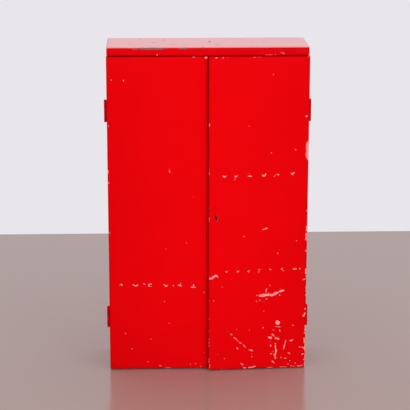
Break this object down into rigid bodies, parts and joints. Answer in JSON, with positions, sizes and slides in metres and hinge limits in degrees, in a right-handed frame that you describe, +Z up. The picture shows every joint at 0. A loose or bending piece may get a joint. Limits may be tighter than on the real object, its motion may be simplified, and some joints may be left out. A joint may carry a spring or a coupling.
{
  "type": "two-door tool cabinet",
  "caption": "Shallow upright sheet steel tool cabinet with hinged doors, door racks, shelves, slide bolts and a key lock.",
  "frame": {"origin": "centre of the underside of the carcass", "axes": "+Z up, -Y out of the door faces, +X to the right seen from the front"},
  "size_m": [0.617, 0.2134, 1],
  "materials": {
    "red_outside": "gloss",
    "red_inside": "satin",
    "red_door": "gloss",
    "red_rack": "satin",
    "hinge_steel": "painted over, worn",
    "pin_steel": "dull",
    "rivet_steel": "dull",
    "lock_steel": "dull",
    "lock_brass": "satin",
    "bright_steel": "bright",
    "slide_bolt_steel": "zinc plated"
  },
  "bodies": {
    "carcass": {"top_cap": "red_outside", "left_side": "red_outside", "right_side": "red_outside", "back_panel": "red_outside", "bottom_panel": "red_inside", "head_rail": "red_inside", "lower_shelf": "red_inside", "upper_shelf": "red_inside", "left_lower_cleat": "red_inside", "right_lower_cleat": "red_inside", "left_upper_cleat": "red_inside", "right_upper_cleat": "red_inside", "left_upper_frame_leaf": "hinge_steel", "left_lower_frame_leaf": "hinge_steel", "right_upper_frame_leaf": "hinge_steel", "right_lower_frame_leaf": "hinge_steel", "left_upper_hinge_pin": "pin_steel", "left_lower_hinge_pin": "pin_steel", "right_upper_hinge_pin": "pin_steel", "right_lower_hinge_pin": "pin_steel", "frame_hinge_rivets": "rivet_steel"},
    "left_door": {"left_door_pan": "red_door", "left_rack": "red_rack", "left_upper_door_leaf": "hinge_steel", "left_lower_door_leaf": "hinge_steel", "left_door_hinge_rivets": "rivet_steel", "top_bolt_guide": "slide_bolt_steel", "bottom_bolt_guide": "slide_bolt_steel", "bolt_guide_rivets": "rivet_steel"},
    "right_door": {"right_door_pan": "red_door", "right_lower_rack": "red_rack", "right_upper_rack": "red_rack", "right_upper_door_leaf": "hinge_steel", "right_lower_door_leaf": "hinge_steel", "right_door_hinge_rivets": "rivet_steel", "lock_case": "lock_steel", "lock_cap": "lock_steel", "drill_pin": "lock_brass", "lock_screws": "bright_steel"},
    "top_slide_bolt": {"top_bolt": "slide_bolt_steel"},
    "bottom_slide_bolt": {"bottom_bolt": "slide_bolt_steel"},
    "lock_throw": {"lock_bolt": "lock_brass", "bolt_spring": "bright_steel"}
  },
  "joints": [
    {"name": "left_door_hinge", "type": "hinge", "parent": "carcass", "child": "left_door", "pos_m": [-0.3045, -0.07585, 0.487], "axis": [0, 0, -1], "range_deg": [0, 180]},
    {"name": "right_door_hinge", "type": "hinge", "parent": "carcass", "child": "right_door", "pos_m": [0.3045, -0.07585, 0.487], "axis": [0, 0, 1], "range_deg": [-3.5, 176.5]},
    {"name": "top_bolt_slide", "type": "slide", "parent": "left_door", "child": "top_slide_bolt", "axis": [0, 0, 1], "range_m": [0, 0.014]},
    {"name": "bottom_bolt_slide", "type": "slide", "parent": "left_door", "child": "bottom_slide_bolt", "axis": [0, 0, -1], "range_m": [0, 0.014]},
    {"name": "lock_bolt_slide", "type": "slide", "parent": "right_door", "child": "lock_throw", "axis": [-0.9981, -0.061, 0], "range_m": [0, 0.008]}
  ]
}
